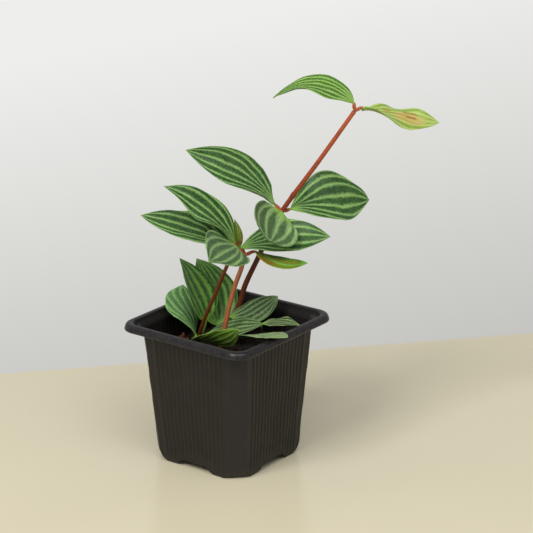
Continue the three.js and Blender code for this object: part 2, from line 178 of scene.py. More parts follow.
STALK = 0.85  # half thickness
FLATTENED = 0.12  # share of the blade's length over which it turns from round to flat
WAVE_LENGTH = 0.6

# The pale lengthwise veins of each leaf: where each crosses a quarter, half and three quarters of
# the way along the blade, as shares of the half width.
USUAL_VEINS = ((-0.62, -0.86, -1.15), (-0.31, -0.43, -0.56), (0, 0, 0), (0.31, 0.43, 0.56),
               (0.62, 0.86, 1.15))
VEINS = {
    "leaf_top_left": (
        (-0.72, -0.6, -0.45), (-0.28, -0.18, -0.1), (0.15, 0.2, 0.24), (0.44, 0.5, 0.52),
        (0.7, 0.78, 0.82)),
    "leaf_high_left": (
        (-0.52, -0.85, -1.2), (-0.25, -0.5, -0.8), (0.05, -0.13, -0.33), (0.27, 0.24, 0.18),
        (0.46, 0.59, 0.66), (0.75, 0.84, 0.9)),
    "leaf_high_right": (
        (-0.7, -0.81, -0.95), (-0.35, -0.53, -0.68), (-0.11, -0.11, -0.16), (0.13, 0.29, 0.38),
        (0.4, 0.66, 0.84), (0.7, 0.95, 1.2)),
    "leaf_high_front": (
        (-0.9, -0.86, -0.8), (-0.6, -0.46, -0.35), (-0.15, -0.2, -0.22), (0.38, 0.18, 0.02),
        (0.73, 0.66, 0.5)),
    "leaf_mid_upper": (
        (-0.6, -0.8, -1), (-0.28, -0.4, -0.52), (0.08, 0.07, 0.06), (0.46, 0.62, 0.8),
        (0.84, 0.95, 1.1)),
    "leaf_mid_lower": (
        (-0.5, -0.68, -0.9), (-0.32, -0.45, -0.6), (0.03, 0.04, 0.05), (0.35, 0.5, 0.65),
        (0.6, 0.85, 1.05)),
    "leaf_mid_front": (
        (-0.6, -0.77, -1), (-0.38, -0.45, -0.6), (-0.04, -0.04, -0.05), (0.28, 0.4, 0.5),
        (0.6, 0.79, 1)),
    "leaf_mid_right": (
        (-0.65, -0.85, -1.1), (-0.35, -0.5, -0.62), (-0.06, -0.09, -0.11), (0.28, 0.42, 0.55),
        (0.6, 0.85, 1.1)),
    "leaf_base_left": (
        (-0.22, -0.62, -1.05), (0.28, -0.16, -0.62), (0.62, 0.27, -0.1), (0.95, 0.68, 0.42),
        (1.3, 1.08, 0.86)),
    "leaf_base_tall": (
        (-0.63, -0.88, -1.13), (-0.22, -0.4, -0.58), (0.22, 0.11, 0), (0.67, 0.62, 0.57),
        (1.05, 1.1, 1.15)),
    "leaf_base_back": (
        (-0.9, -0.95, -1), (-0.6, -0.67, -0.75), (-0.33, -0.39, -0.45), (-0.06, -0.1, -0.14),
        (0.2, 0.18, 0.16), (0.46, 0.46, 0.46), (0.75, 0.76, 0.78)),
    "leaf_base_far": (
        (-0.65, -0.8, -0.95), (-0.23, -0.38, -0.53), (0.2, 0.05, -0.1), (0.6, 0.45, 0.3),
        (1, 0.87, 0.72)),
    "leaf_base_right": (
        (-0.75, -0.8, -0.85), (-0.3, -0.35, -0.4), (0.1, 0.1, 0.1), (0.5, 0.55, 0.6),
        (0.95, 1, 1.05)),
}

STALK_RED = (0.3, 0.075, 0.022)
STALK_GREEN = (0.1, 0.15, 0.03)
# dark maroon stalks painted nearly black: painted shade where they lie low among the leaves
STALK_IN_SHADE = (0.05, 0.02, 0.01)
FOOT_LIME = (0.22, 0.44, 0.05)


def look(dark, pale, cover, tooth, streaks=(), stalk=STALK_RED, fleck=1.0, slot="leaf"):
    """How a leaf is coloured.

    dark is the colour between the veins and pale the one along them, cover is how much of the blade
    the pale bands take, tooth how ragged their edges are, stalk its stalk's colour, and fleck how
    strong the fine flecks are. A streak is one more band of colour: the terms of its middle line
    across the blade as it runs along (constant, slope, bend), its half width, where along the blade
    it starts and ends, its colour and its strength."""
    return dict(dark=dark, pale=pale, cover=cover, tooth=tooth, streaks=streaks, stalk=stalk,
                fleck=fleck, slot=slot)


LOOKS = {
    "dark": look((0.015, 0.053, 0.01), (0.215, 0.39, 0.115), 0.4, 0.55),
    "grey": look((0.041, 0.09, 0.031), (0.27, 0.44, 0.165), 0.44, 0.65),
    "bright": look((0.034, 0.105, 0.003), (0.27, 0.46, 0.115), 0.46, 0.5),
    "lush": look((0.022, 0.066, 0.015), (0.165, 0.37, 0.06), 0.58, 0.8, stalk=STALK_GREEN),
    "soft": look((0.055, 0.15, 0.05), (0.24, 0.44, 0.15), 0.58, 0.7, stalk=STALK_GREEN),
    # the plain and small looks have stalks painted nearly black as well: painted shade
    "plain": look((0.028, 0.053, 0.018), (0.175, 0.3, 0.105), 0.52, 0.8, stalk=(0.03, 0.012, 0.006)),
    "small": look((0.022, 0.036, 0.012), (0.27, 0.4, 0.15), 0.34, 0.5, stalk=(0.018, 0.009, 0.004)),
    "edge": look(
        (0.11, 0.15, 0.065), (0.27, 0.4, 0.175), 0.5, 0.4, stalk=STALK_IN_SHADE,
        streaks=[((-1, 0, 0), 0.9, (-0.1, 0.45), (0.05, 0.12, 0.02), 0.7)]),
    # painted lighter to make up for the shade the leaf lies in; a pale band along its upper margin
    "shaded": look(
        (0.115, 0.24, 0.018), (0.32, 0.52, 0.1), 0.5, 0.5, stalk=STALK_IN_SHADE,
        streaks=[((-1, 0, 0), 0.3, (0.1, 1.1), (0.45, 0.6, 0.22), 0.8)]),
    "young": look(
        (0.21, 0.31, 0.045), (0.41, 0.54, 0.16), 0.55, 0.1, fleck=0.25, slot="young_leaf",
        streaks=[((-0.3, 0.6, 0), 0.62, (0.36, 0.88), (0.5, 0.41, 0.13), 0.85),
                 ((-0.85, 1.4, 0), 0.1, (0.24, 0.66), (0.42, 0.17, 0.03), 0.7),
                 ((-0.75, 0.5, 0), 0.13, (0.5, 0.74), (0.3, 0.1, 0.012), 0.75),
                 ((-0.4, 0.6, 0), 0.14, (0.54, 0.74), (0.27, 0.08, 0.01), 0.75),
                 ((-0.3, 1.1, 0), 0.09, (0.36, 0.8), (0.45, 0.25, 0.05), 0.6)]),
    "olive": look(
        (0.18, 0.21, 0.012), (0.25, 0.32, 0.03), 0.5, 0.3, slot="young_leaf",
        streaks=[((-0.85, 0.35, 0), 0.34, (0.2, 1.1), (0.11, 0.3, 0.03), 0.9),
                 ((0.75, 0, 0), 0.5, (-0.1, 0.5), (0.27, 0.13, 0.012), 0.65),
                 ((0.9, 0, 0), 0.35, (0.35, 0.95), (0.14, 0.25, 0.01), 0.75),
                 ((-0.82, 3.55, -2.6), 0.2, (0.06, 0.95), (0.22, 0.55, 0.09), 0.9),
                 ((0, 0, 0), 1.6, (0.84, 1.2), (0.16, 0.42, 0.05), 0.9)]),
    "bud": look(
        (0.085, 0.135, 0.008), (0.16, 0.23, 0.03), 0.5, 0.3, slot="young_leaf",
        streaks=[((0, 0, 0), 1.6, (-0.3, 0.3), (0.2, 0.09, 0.02), 0.8),
                 ((-0.95, 0, 0), 0.28, (0, 0.95), (0.18, 0.075, 0.02), 0.7),
                 ((0.95, 0, 0), 0.28, (0, 0.95), (0.18, 0.075, 0.02), 0.7)]),
}


# ---- mesh helpers ----

def smooth(x):
    x = np.clip(x, 0.0, 1.0)
    return x * x * (3 - 2 * x)


def unit(v):
    return v / np.linalg.norm(v, axis=-1, keepdims=True)


def put_in_scene(name, data):
    obj = bpy.data.objects.new(name, data)
    bpy.context.scene.collection.objects.link(obj)
    return obj


def new_mesh(name, verts, faces):
    """A mesh from points in millimetres round the pot's axis."""
    mesh = bpy.data.meshes.new(name)
    mesh.from_pydata((np.asarray(verts) * MM + AXIS).tolist(), [], faces)
    return mesh


def add_piece(name, verts, faces, material, slot, node=None, values=None, sharp=None):
    mesh = new_mesh(name, verts, faces)
    for key, data in (values or {}).items():
        layer = mesh.attributes.new(key, "FLOAT", "POINT")
        layer.data.foreach_set("value", np.asarray(data, np.float32))
    mesh.polygons.foreach_set("use_smooth", [True] * len(mesh.polygons))
    mesh.materials.append(material)
    mesh.update()
    if sharp is not None:
        mesh.set_sharp_from_angle(angle=math.radians(sharp))
    piece = put_in_scene(name, mesh)
    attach(piece, "root")
    if node:
        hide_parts(node)
    return piece


def grid_faces(rows, columns, start=0):
    faces = []
    for i in range(rows - 1):
        for j in range(columns):
            a, b = start + i * columns + j, start + i * columns + (j + 1) % columns
            faces.append((a, b, b + columns, a + columns))
    return faces


def capped(rings):
    """Points and faces of a closed skin over rings of equal count, counter-clockwise from the end."""
    rings = np.asarray(rings, float)
    rows, columns = rings.shape[:2]
    verts = np.vstack([rings.reshape(-1, 3), rings[0].mean(0), rings[-1].mean(0)])
    faces = grid_faces(rows, columns)
    first, end = rows * columns, (rows - 1) * columns
    for j in range(columns):
        k = (j + 1) % columns
        faces += [(first, k, j), (first + 1, end + j, end + k)]
    return verts, faces


def points_at(x, known, points):
    """The points of a line at each x, from those at known places."""
    return np.stack([np.interp(x, known, points[:, k]) for k in range(3)], axis=1)


CURVE_STEPS = 60  # between two given points


def lerp(t, low, high, a, b):
    return (high - t) / (high - low) * a + (t - low) / (high - low) * b


def along_curve(points, count):
    """Evenly spaced points and directions on the centripetal curve through the given points, and
    its length."""
    pts = [np.array(p, float) for p in points]
    pts = [2 * pts[0] - pts[1]] + pts + [2 * pts[-1] - pts[-2]]
    dense = []
    for four in zip(pts, pts[1:], pts[2:], pts[3:]):
        gaps = [np.linalg.norm(b - a) ** 0.5 for a, b in zip(four, four[1:])]
        t0, t1, t2, t3 = np.cumsum([0.0] + gaps)
        for t in np.linspace(t1, t2, CURVE_STEPS, endpoint=False):
            a1, a2, a3 = (lerp(t, low, high, a, b) for low, high, a, b in
                          zip((t0, t1, t2), (t1, t2, t3), four, four[1:]))
            b1, b2 = lerp(t, t0, t2, a1, a2), lerp(t, t1, t3, a2, a3)
            dense.append(lerp(t, t1, t2, b1, b2))
    dense = np.array(dense + [pts[-2]])
    length = np.concatenate([[0], np.cumsum(np.linalg.norm(np.diff(dense, axis=0), axis=1))])
    even = np.linspace(0, length[-1], count)
    spots = points_at(even, length, dense)
    return spots, unit(np.gradient(spots, axis=0)), length[-1]


def circle(sides):
    """The cosines and sines of evenly spaced angles, as columns."""
    turns = np.arange(sides) * 2 * math.pi / sides
    return np.cos(turns)[:, None], np.sin(turns)[:, None]


# ---- material helpers ----

class Nodes:
    """A node tree, built step by step."""

    def __init__(self, tree):
        self.tree = tree
        tree.nodes.clear()

    def new(self, kind):
        return self.tree.nodes.new("ShaderNode" + kind)

    def put(self, socket, value):
        if isinstance(value, bpy.types.NodeSocket):
            self.tree.links.new(value, socket)
        elif isinstance(value, tuple) and len(value) == 3 and len(socket.default_value) == 4:
            socket.default_value = (*value, 1)
        else:
            socket.default_value = value

    def fill(self, node, output=0, **inputs):
        """Sets named inputs, with _ for a space, and gives one output, if any."""
        for key, value in inputs.items():
            self.put(node.inputs[key.replace("_", " ")], value)
        return None if output is None else node.outputs[output]

    def math(self, kind, a, b=0.0, c=0.0):
        node = self.new("Math")
        node.operation = kind
        for socket, value in zip(node.inputs, (a, b, c)):
            self.put(socket, value)
        return node.outputs[0]

    def add(self, a, b):
        return self.math("ADD", a, b)

    def times(self, a, b):
        return self.math("MULTIPLY", a, b)

    def line(self, x, slope, start):
        return self.math("MULTIPLY_ADD", x, slope, start)

    def step(self, x, low, high, to=(0.0, 1.0), kind="SMOOTHSTEP"):
        """Runs from one value to the other while x runs from low to high."""
        node = self.new("MapRange")
        node.interpolation_type = kind
        return self.fill(node, Value=x, From_Min=low, From_Max=high, To_Min=to[0], To_Max=to[1])

    def ramp(self, x, stops):
        node = self.new("ValToRGB")
        made = node.color_ramp.elements
        for i, (place, colour) in enumerate(stops):
            stop = made[i] if i < 2 else made.new(place)
            stop.position = place
            stop.color = (*colour, 1)
        return self.fill(node, Fac=x)


class Shader(Nodes):
    """A material."""

    def __init__(self, name):
        self.material = bpy.data.materials.new(name)
        self.material.use_nodes = True
        super().__init__(self.material.node_tree)
        self.skin = self.new("BsdfPrincipled")
        self.fill(self.new("OutputMaterial"), None, Surface=self.skin.outputs["BSDF"])
        self.places = self.new("TexCoord").outputs["Object"]

    def value(self, name):
        node = self.new("Attribute")
        node.attribute_name = name
        return node.outputs["Fac"]

    def mix(self, share, a, b):
        node = self.new("Mix")
        node.data_type = "RGBA"
        for index, value in ((0, share), (6, a), (7, b)):
            self.put(node.inputs[index], value)
        return node.outputs[2]

    def noise(self, scale, detail=2.0, rough=0.5, at=None, warp=0.0):
        return self.fill(self.new("TexNoise"), "Fac", Vector=at or self.places, Scale=scale,
                         Detail=detail, Roughness=rough, Distortion=warp)

    def bump(self, height, distance, strength):
        return self.fill(self.new("Bump"), Height=height, Distance=distance, Strength=strength)

    def finish(self, colour, rough, normal, specular, **more):
        self.fill(self.skin, Base_Color=colour, Roughness=rough, Normal=normal,
                  Specular_IOR_Level=specular, **more)
        return self.material


# ---- leaves ----

def direction(heading, pitch):
    h, p = np.radians(heading), np.radians(pitch)
    return np.stack([np.cos(p) * np.cos(h), np.cos(p) * np.sin(h), np.sin(p)], axis=-1)


BLADE_ROWS, BLADE_COLUMNS = 96, 73
MIDRIB_STEPS = 400
BLADE_HALF = 0.4  # half thickness
SECTION_REACH = 0.93  # how far the round of a stalk's section reaches towards its edges
VEIN_DEPTH = 0.24
VEIN_SHARE = 0.075  # half width, as a share of the way to the next vein
VEIN_GAP = 0.12  # least distance between two veins, as a share of the half width
OUTER_STEP = 0.36  # how far apart veins would lie past the outermost ones
FULL_RELIEF = 26  # narrower blades have shallower veins
ROOT_STEPS = 4


def blade_frame(t, aim, turn):
    """Directions along, across and out of a blade, at t of the way along it."""
    heading, pitch, arch, sweep = aim
    roll, twist, _ = turn
    t = np.asarray(t, float)
    h = heading + sweep * (t - 0.5)
    along = direction(h, pitch - arch * (t - 0.5))
    side = np.stack([np.sin(np.radians(h)), -np.cos(np.radians(h)), np.zeros_like(h)], axis=-1)
    up = np.cross(side, along)
    tilt = np.radians(roll + twist * (t - 0.5))[..., None]
    return along, side * np.cos(tilt) + up * np.sin(tilt), up * np.cos(tilt) - side * np.sin(tilt)


def outline(t, edge):
    fore, aft = edge
    widest = fore / (fore + aft)
    t = np.clip(t, 1e-6, 1 - 1e-6)
    return (t / widest) ** fore * ((1 - t) / (1 - widest)) ** aft


def stem_axis_near(point):
    """The nearest point on any stem's middle line, and how far it is."""
    spots = np.vstack([along_curve(row["line"], 120)[0] for row in STEMS.values()])
    away = np.linalg.norm(spots - point, axis=1)
    return spots[away.argmin()], away.min()


def vein_phase(t, u, veins):
    """A value that rises evenly across the blade and is whole on every vein."""
    t = np.clip(t, 0.04, 0.96)
    early, middle, late = t - 0.25, t - 0.5, t - 0.75
    shares = np.stack([middle * late / 0.125, -early * late / 0.0625, early * middle / 0.125], axis=1)
    spots = shares @ np.array(veins, float).T
    for k in range(1, spots.shape[1]):
        spots[:, k] = np.maximum(spots[:, k], spots[:, k - 1] + VEIN_GAP)
    past = np.array([1, 3, 9])
    spots = np.hstack([spots[:, :1] - OUTER_STEP * past[::-1], spots,
                       spots[:, -1:] + OUTER_STEP * past])
    whole = np.concatenate([-past[::-1], np.arange(len(veins)), len(veins) - 1 + past])
    return np.array([np.interp(u, spots[k], whole) for k in range(len(t))])


def lumps(t, u, size, steps, shift):
    """Soft noise over a blade, with lumps as long and wide as the steps."""
    (length, width), (far, wide) = size, steps
    return np.array([[noise.noise(Vector((x * length / far, y * width / wide, shift))) for y in u]
                     for x in t])


def blade(row, t, u, phase, seed):
    """The rings of a blade, and the directions along and across it at its foot."""
    size, aim, turn = row["size"], row["aim"], row["turn"]
    lift, wave_start = row["wave"]
    length, width = size
    # the midrib: the same steps as the CAD blade, refined
    fine = np.linspace(0, 1, MIDRIB_STEPS + 1)
    steps, _, _ = blade_frame((fine[1:] + fine[:-1]) / 2, aim, turn)
    path = np.vstack([np.zeros(3), np.cumsum(steps * (length / MIDRIB_STEPS), axis=0)])
    path = path + np.array(row["base"], float)
    centre = points_at(t, fine, path)
    along, across, normal = blade_frame(t, aim, turn)
    share = outline(t, row["edge"])
    wobble = np.array([noise.noise(Vector((x * 7.0, seed * 3.7, 0.0))) for x in t])
    half = np.maximum(width / 2 * share * (1 + 0.02 * wobble), np.where(t < 0.5, STALK * 0.9, 0.12))
    flat = np.minimum(1, t / FLATTENED)
    swing = lift * share * np.sin(2 * math.pi * (t - wave_start) / WAVE_LENGTH)
    cup = np.radians(np.where(np.abs(turn[2] * flat) > 0.01, turn[2] * flat, 0.01))
    t, half, cup, flat, swing, share = (v[:, None] for v in (t, half, cup, flat, swing, share))
    out = half * np.sin(cup * u) / cup
    rise = half * (1 - np.cos(cup * u)) / cup
    rise = rise + swing * u ** 2 * np.where(u < 0, 1.0, 0.25)
    # sunken veins with swollen strips between them, and a soft unevenness
    lane = np.abs(phase - np.round(phase))
    ends = smooth(t / 0.2) * smooth((1 - t) / 0.14)
    groove = -VEIN_DEPTH * np.exp(-(lane / VEIN_SHARE) ** 2) + VEIN_DEPTH * smooth(lane / 0.4)
    soft = lumps(t[:, 0], u, size, (9, 16), seed * 5.1)
    ripple = lumps(t[:, 0], u, size, (2.6, 7), seed * 2.3)
    relief = ends * (groove * min(1.0, width / FULL_RELIEF) + 0.5 * soft * share + 0.10 * ripple)
    round_half = STALK * np.sqrt(1 - (SECTION_REACH * u) ** 2)
    thick = round_half * (1 - flat) + BLADE_HALF * (1 - 0.7 * np.abs(u) ** 5) * flat

    def surface(face):
        rest = rise + relief + face * thick
        return centre[:, None] + across[:, None] * out[..., None] + normal[:, None] * rest[..., None]

    return np.concatenate([surface(1), surface(-1)[:, ::-1]], axis=1), along[0], across[0]


def stalk(row, u, ahead, across):
    """The rings of a leaf's stalk, from its root inside the stem or the compost up to the blade,
    and a value for each that is 0 at the blade, -1 at the stalk's foot and less in the root."""
    base = np.array(row["base"], float)
    start, reach = base, 0.0
    spots, tangents, part = np.zeros((0, 3)), np.zeros((0, 3)), np.zeros(0)
    first = ahead
    if row["stalk"]:
        start = np.array(row["stalk"], float)
        reach = np.linalg.norm(base - start)
        bend = reach * 0.3
        c0, c1, c2, c3 = (start, start + 0.5 * bend * np.array([0, 0, 1]) + 0.15 * (base - start),
                          base - ahead * bend, base)
        part = np.linspace(0, 1, max(5, round(reach / 0.9)), endpoint=False)
        p = part[:, None]
        spots = (1 - p) ** 3 * c0 + 3 * (1 - p) ** 2 * p * c1 + 3 * (1 - p) * p ** 2 * c2 + p ** 3 * c3
        tangents = unit(3 * (1 - p) ** 2 * (c1 - c0) + 6 * (1 - p) * p * (c2 - c1)
                        + 3 * p ** 2 * (c3 - c2))
        first = tangents[0]
    root, away = stem_axis_near(start)
    if away > 6:
        root = start - np.array([0, 0, 4.0])
    root_part = np.linspace(0, 1, ROOT_STEPS, endpoint=False)[:, None]
    root_dirs = np.repeat(unit(start - root + 0.3 * first)[None], ROOT_STEPS, axis=0)
    spots = np.vstack([root * (1 - root_part) + start * root_part, spots])
    tangents = np.vstack([root_dirs, tangents])
    flow = np.concatenate([-1 - (1 - root_part[:, 0]) * 0.3, part - 1])
    # short stalks thicken towards their stem
    girths = STALK * (0.95 + (0.42 if reach < 9 else 0.1) * smooth(-flow / 0.8))
    rings = []
    for spot, tangent, girth in zip(spots, tangents, girths):
        side = unit(across - tangent * np.dot(across, tangent))
        face = np.cross(side, tangent)
        middle = spot + side * (girth * u)[:, None]
        up = face * (girth * np.sqrt(1 - (SECTION_REACH * u) ** 2))[:, None]
        rings.append(np.concatenate([middle + up, (middle - up)[::-1]]))
    return np.array(rings), flow


def leaf(name, row, seed):
    even = np.linspace(-1, 1, BLADE_COLUMNS)
    u = np.sin(even * math.pi / 2) * 0.25 + even * 0.75
    even = np.linspace(0, 1, BLADE_ROWS)
    t = 0.4 * even + 0.6 * (0.5 - 0.5 * np.cos(math.pi * even))
    phase = vein_phase(t, u, VEINS.get(name, USUAL_VEINS))
    blade_rings, ahead, across = blade(row, t, u, phase, seed)
    stalk_rings, flow = stalk(row, u, ahead, across)
    verts, faces = capped(np.concatenate([stalk_rings, blade_rings]))
    # the values of the last two points are those of the caps
    flow = np.concatenate([flow, t])
    phase = np.vstack([np.repeat(phase[:1], len(stalk_rings), axis=0), phase])
    phase = np.concatenate([phase, phase[:, ::-1]], axis=1)
    under = np.repeat([0.0, 1.0], BLADE_COLUMNS)
    values = dict(
        along=np.append(np.repeat(flow, 2 * BLADE_COLUMNS), [flow[0], 1.0]),
        across=np.append(np.tile(np.concatenate([u, u[::-1]]), len(flow)), [0.0, 0.0]),
        phase=np.append(phase.reshape(-1), [0.5, 0.5]),
        under=np.append(np.tile(under, len(flow)), [0.0, 0.0]))
    style = LOOKS[row["look"]]
    material = leaf_material(name + "_skin", style, row["size"][0], seed)
    return add_piece(name + "_blade", verts, faces, material, style["slot"], name, values)


def scaled(colour, factor, extra=0.0):
    return tuple(min(1.0, c * factor + extra) for c in colour)


def blend(a, b, share_a, share_b):
    return tuple(share_a * x + share_b * y for x, y in zip(a, b))


def leaf_material(name, style, length, seed):
    s = Shader(name)
    t, u, under, phase = (s.value(key) for key in ("along", "across", "under", "phase"))
    run = s.times(t, length)
    cloud = s.noise(190, 3)
    fleck = s.noise(1000, 4, 0.65)

    def along_noise(step, spread, detail, rough=0.55, shift=0.0):
        """Noise that is drawn out along the veins, in steps of so many millimetres."""
        node = s.new("CombineXYZ")
        place = s.fill(node, X=s.times(run, 1 / step), Y=s.line(phase, spread, shift), Z=seed * 3.1)
        return s.noise(1.0, detail, rough, at=place)

    # 0 on a vein, 1 half way to the next
    drift = s.line(along_noise(9, 0.5, 1), 0.2, -0.1)
    lane = s.times(s.math("PINGPONG", s.add(phase, drift), 0.5), 2.0)
    tooth, cover = style["tooth"], style["cover"]
    teeth = s.line(along_noise(1.3, 1.3, 4, 0.68, 7.0), 2 * tooth, -tooth)
    teeth = s.times(teeth, s.step(lane, 0.06, 0.4))
    # more of the blade is pale near the stalk and the tip
    ends = s.add(s.step(t, 0.24, 0.0, (0.0, 0.42)), s.step(t, 0.88, 1.0, (0.0, 0.35)))
    ragged = s.math("SUBTRACT", s.add(lane, teeth), ends)
    dark, pale, spots = style["dark"], style["pale"], style["fleck"]
    between = blend(dark, pale, 0.55, 0.45)
    crest = scaled(pale, 1.3, 0.015)
    lower = blend(dark, pale, 0.65, 0.28)
    lighter = scaled(dark, 1 + 1.3 * spots, 0.01 * spots)
    flecked_dark = s.mix(s.step(fleck, 0.42, 0.66), dark, lighter)
    flecked_pale = s.mix(s.step(fleck, 0.4, 0.68), pale, scaled(pale, 1 - 0.38 * spots))
    colour = s.mix(s.step(ragged, cover + 0.13, cover - 0.04), flecked_dark, between)
    colour = s.mix(s.step(ragged, cover - 0.02, cover - 0.22), colour, flecked_pale)
    colour = s.mix(s.step(lane, 0.17, 0.03, (0.0, 0.6)), colour, crest)
    # broad lighter clouds
    colour = s.mix(s.step(cloud, 0.35, 0.7, (0.0, 0.22)), colour, between)
    for (a, b, c), wide, (start, end), tint, strength in style["streaks"]:
        off = s.math("ABSOLUTE", s.math("SUBTRACT", u, s.line(s.line(t, c, b), t, a)))
        off = s.add(off, s.line(along_noise(2.5, 2, 3), wide * 0.9, -wide * 0.45))
        soft = 0.07 if end - start < 0.5 else 0.12
        share = s.times(s.step(t, start, start + soft), s.step(t, end, end - soft))
        share = s.times(share, s.step(off, wide, wide * 0.35, (0.0, strength)))
        colour = s.mix(share, colour, tint)
    # the margin, a fine pale line
    colour = s.mix(s.times(s.step(s.math("ABSOLUTE", u), 0.95, 0.985), 0.5), colour, crest)
    # the lower face is duller and plainer
    colour = s.mix(s.times(under, 0.8), colour, lower)
    # lime foot of the blade, and the stalk
    colour = s.mix(s.step(t, 0.13, -0.02, (0.0, 0.85)), colour, FOOT_LIME)
    foot = s.mix(s.step(fleck, 0.3, 0.7), style["stalk"], scaled(style["stalk"], 1.5))
    colour = s.mix(s.step(t, 0.0, -0.3), colour, foot)
    height = s.add(s.times(fleck, 0.5), s.times(teeth, 0.4))
    return s.finish(colour, s.step(cloud, 0.3, 0.7, (0.38, 0.5)), s.bump(height, 0.00012, 0.3), 0.28,
                    Subsurface_Weight=0.06, Subsurface_Scale=0.001,
                    Subsurface_Radius=(0.5, 1.0, 0.25))


# ---- stems ----

STEM_RINGS, STEM_SIDES = 150, 20
JOINT_SWELL = 0.22
JOINT_REACH = 1.7


def stem(name, row):
    spots, dirs, length = along_curve(row["line"], STEM_RINGS)
    foot, tip = row["radii"]
    cosines, sines = circle(STEM_SIDES)
    parts = np.arange(STEM_RINGS) / (STEM_RINGS - 1)
    rings = []
    for part, spot, ahead in zip(parts, spots, dirs):
        right = unit(np.cross((0, 1, 0), ahead))
        back = np.cross(ahead, right)
        radius = foot + (tip - foot) * part
        radius *= 1 + 0.03 * noise.noise(Vector((part * length / 7, foot * 9, 0)))
        for joint in row["joints"]:
            radius *= 1 + JOINT_SWELL * math.exp(-(((part - joint) * length) / JOINT_REACH) ** 2)
        from_end = (1 - part) * length
        if from_end < radius:
            radius *= math.sqrt(max(0.02, 1 - (1 - from_end / radius) ** 2))
        rings.append(spot + right * (radius * cosines) + back * (radius * sines))
    verts, faces = capped(rings)
    values = dict(along=np.append(np.repeat(parts, STEM_SIDES), [0.0, 1.0]))
    material = stem_material(name + "_skin", row)
    return add_piece(name + "_stalk", verts, faces, material, "stem", name, values)


def stem_material(name, row):
    s = Shader(name)
    speck = s.noise(1500, 4, 0.65)
    blotch = s.noise(190, 3)
    colour = s.ramp(s.value("along"), row["colours"])
    colour = s.mix(s.step(speck, 0.5, 0.68, (0.0, 0.35)), colour, row["speck"])
    colour = s.mix(s.step(blotch, 0.45, 0.7, (0.0, 0.4)), colour, row["deep"])
    height = s.add(speck, s.times(blotch, 2.0))
    return s.finish(colour, s.step(speck, 0.3, 0.7, (0.36, 0.5)), s.bump(height, 0.0002, 0.4), 0.3,
                    Subsurface_Weight=0.05, Subsurface_Scale=0.001,
                    Subsurface_Radius=(1.0, 0.35, 0.2))


# ---- compost ----

def soil_height(x, y):
    away = math.hypot(x - SOIL_CENTRE[0], y - SOIL_CENTRE[1])
    mound = 4.5 * math.exp(-((away / 24) ** 2))
    lumps = 0.7 * math.sin(x / 4.1 + 1) * math.cos(y / 3.7) + 0.5 * math.sin((x + y) / 2.3)
    return SOIL_EDGE + mound + lumps


def soil_top(x, y):
    spot = Vector((x, y, 0))
    coarse, fine = noise.fractal(spot / 5.5, 1.0, 2.1, 5), noise.noise(spot / 1.3)
    return soil_height(x, y) + 1.3 * coarse + 0.35 * fine


def soil():
    def brink(z, inset):
        """A ring of the compost's side, so far inside the pot's wall."""
        return pot_ring(z, wall_half(z) - WALL - inset, CORNER_CUT, 0, 0)[::3]

    edge = brink(SOIL_EDGE, 0.15)
    rings = [brink(FLOOR_TOP + 0.3, 1.5), brink(10, 0.3), brink(40, 0.2)]
    middle = np.array(SOIL_CENTRE)
    for share in np.linspace(1, 0.015, SOIL_RINGS):
        flat = middle + (edge[:, :2] - middle) * share
        rings.append(np.array([(x, y, soil_top(x, y)) for x, y in flat]))
    verts, faces = capped(rings)
    return add_piece("soil_bed", verts, faces, soil_material("compost", False), "compost", "soil")


CRUMB_SEED = 7
CRUMBS = 1500
FIBRES = 70
FIBRE_STEPS = 9
FIBRE_HALF = 0.12
FULL_TURN = 6.3
CRUMB_MARGIN = 2.0  # between the pot's wall and the middle of a crumb
# place, height above the compost and half sizes of the larger bits of bark; the first seven make
# the little heap beside the left leaf
CHIPS = [
    (-36, -3, 0.8, (3.2, 2, 1.3)), (-33, -6, 0.7, (3, 1.6, 1)),
    (-38, 1, 0.8, (2.8, 1.8, 1.2)), (-34.6, -3.8, 2.4, (3.2, 1.5, 0.9)),
    (-37.4, 0.2, 2.6, (2.6, 1.4, 0.9)), (-35.6, -1.8, 3.9, (2.9, 1.3, 0.8)),
    (-31.5, -3, 1.4, (2.2, 1.2, 0.9)), (-20, -30, 0.6, (2, 1.2, 0.8)),
    (31, 8, 0.6, (2.2, 1.4, 0.8)), (-14, -35, 0.6, (1.6, 1.2, 0.9)),
    (-8, 30, 0.6, (2.2, 1.3, 0.9)), (20, 27, 0.6, (1.8, 1.4, 0.8)),
    (-33, 12, 0.6, (1.7, 1.2, 0.9)),
]


def icosphere():
    ball = bmesh.new()
    bmesh.ops.create_icosphere(ball, subdivisions=1, radius=1.0)
    points = [tuple(v.co) for v in ball.verts]
    faces = [tuple(v.index for v in f.verts) for f in ball.faces]
    ball.free()
    return points, faces


